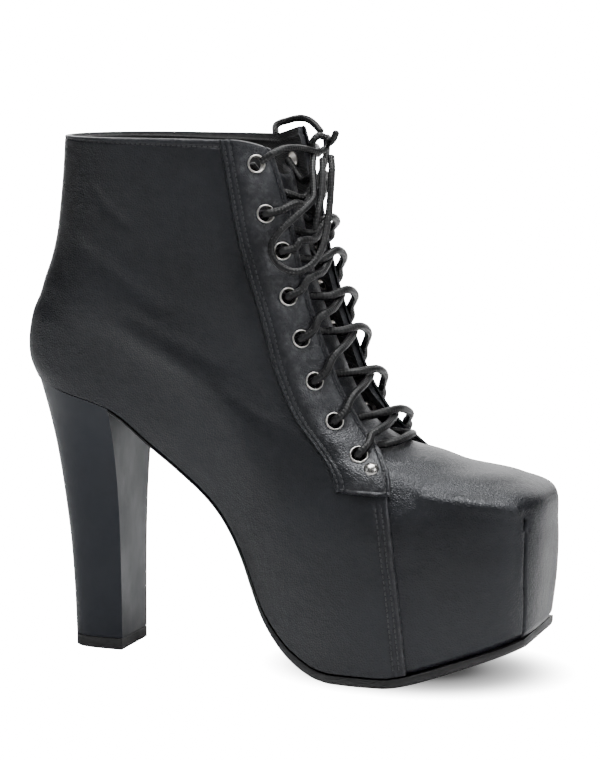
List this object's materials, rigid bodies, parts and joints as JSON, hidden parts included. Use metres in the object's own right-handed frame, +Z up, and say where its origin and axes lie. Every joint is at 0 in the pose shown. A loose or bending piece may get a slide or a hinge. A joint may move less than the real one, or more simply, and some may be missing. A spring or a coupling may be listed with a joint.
{
  "type": "lace up ankle boot",
  "caption": "Right lace up ankle boot with a tall block heel, a thick covered platform, a squared toe, stitched lacing facings, metal eyelets and a tied lace.",
  "frame": {"origin": "on the floor, at the middle of the flat spot under the ball of the foot", "axes": "+X towards the toe, +Y towards the wearer's left, the inner side of this right boot, +Z up"},
  "size_m": [0.2489, 0.0902, 0.2496],
  "materials": {
    "leather": "black grained leather, satin",
    "heel_cover": "smooth black, satin",
    "sole": "black rubber, matt",
    "lining": "dark lining, matt",
    "lace": "waxed black cord",
    "nickel": "polished nickel"
  },
  "bodies": {
    "root": {"upper": "leather", "eyestay_lateral": "leather", "eyestay_medial": "leather", "tongue": "leather", "outsole": "sole", "platform": "lining", "insole": "lining", "heel": "heel_cover", "heel_lift": "sole", "eyelet_lateral_1": "nickel", "eyelet_lateral_2": "nickel", "eyelet_lateral_3": "nickel", "eyelet_lateral_4": "nickel", "eyelet_lateral_5": "nickel", "eyelet_lateral_6": "nickel", "eyelet_lateral_7": "nickel", "eyelet_lateral_8": "nickel", "stud_lateral": "nickel", "eyelet_medial_1": "nickel", "eyelet_medial_2": "nickel", "eyelet_medial_3": "nickel", "eyelet_medial_4": "nickel", "eyelet_medial_5": "nickel", "eyelet_medial_6": "nickel", "eyelet_medial_7": "nickel", "eyelet_medial_8": "nickel", "stud_medial": "nickel", "lace_bar": "lace", "lace_crossing_1": "lace", "lace_crossing_2": "lace", "lace_crossing_3": "lace", "lace_crossing_4": "lace", "lace_crossing_5": "lace", "lace_crossing_6": "lace", "lace_crossing_7": "lace", "lace_knot": "lace", "lace_loop_lateral": "lace", "lace_loop_medial": "lace", "lace_end_lateral": "lace", "lace_end_medial": "lace"}
  },
  "joints": []
}
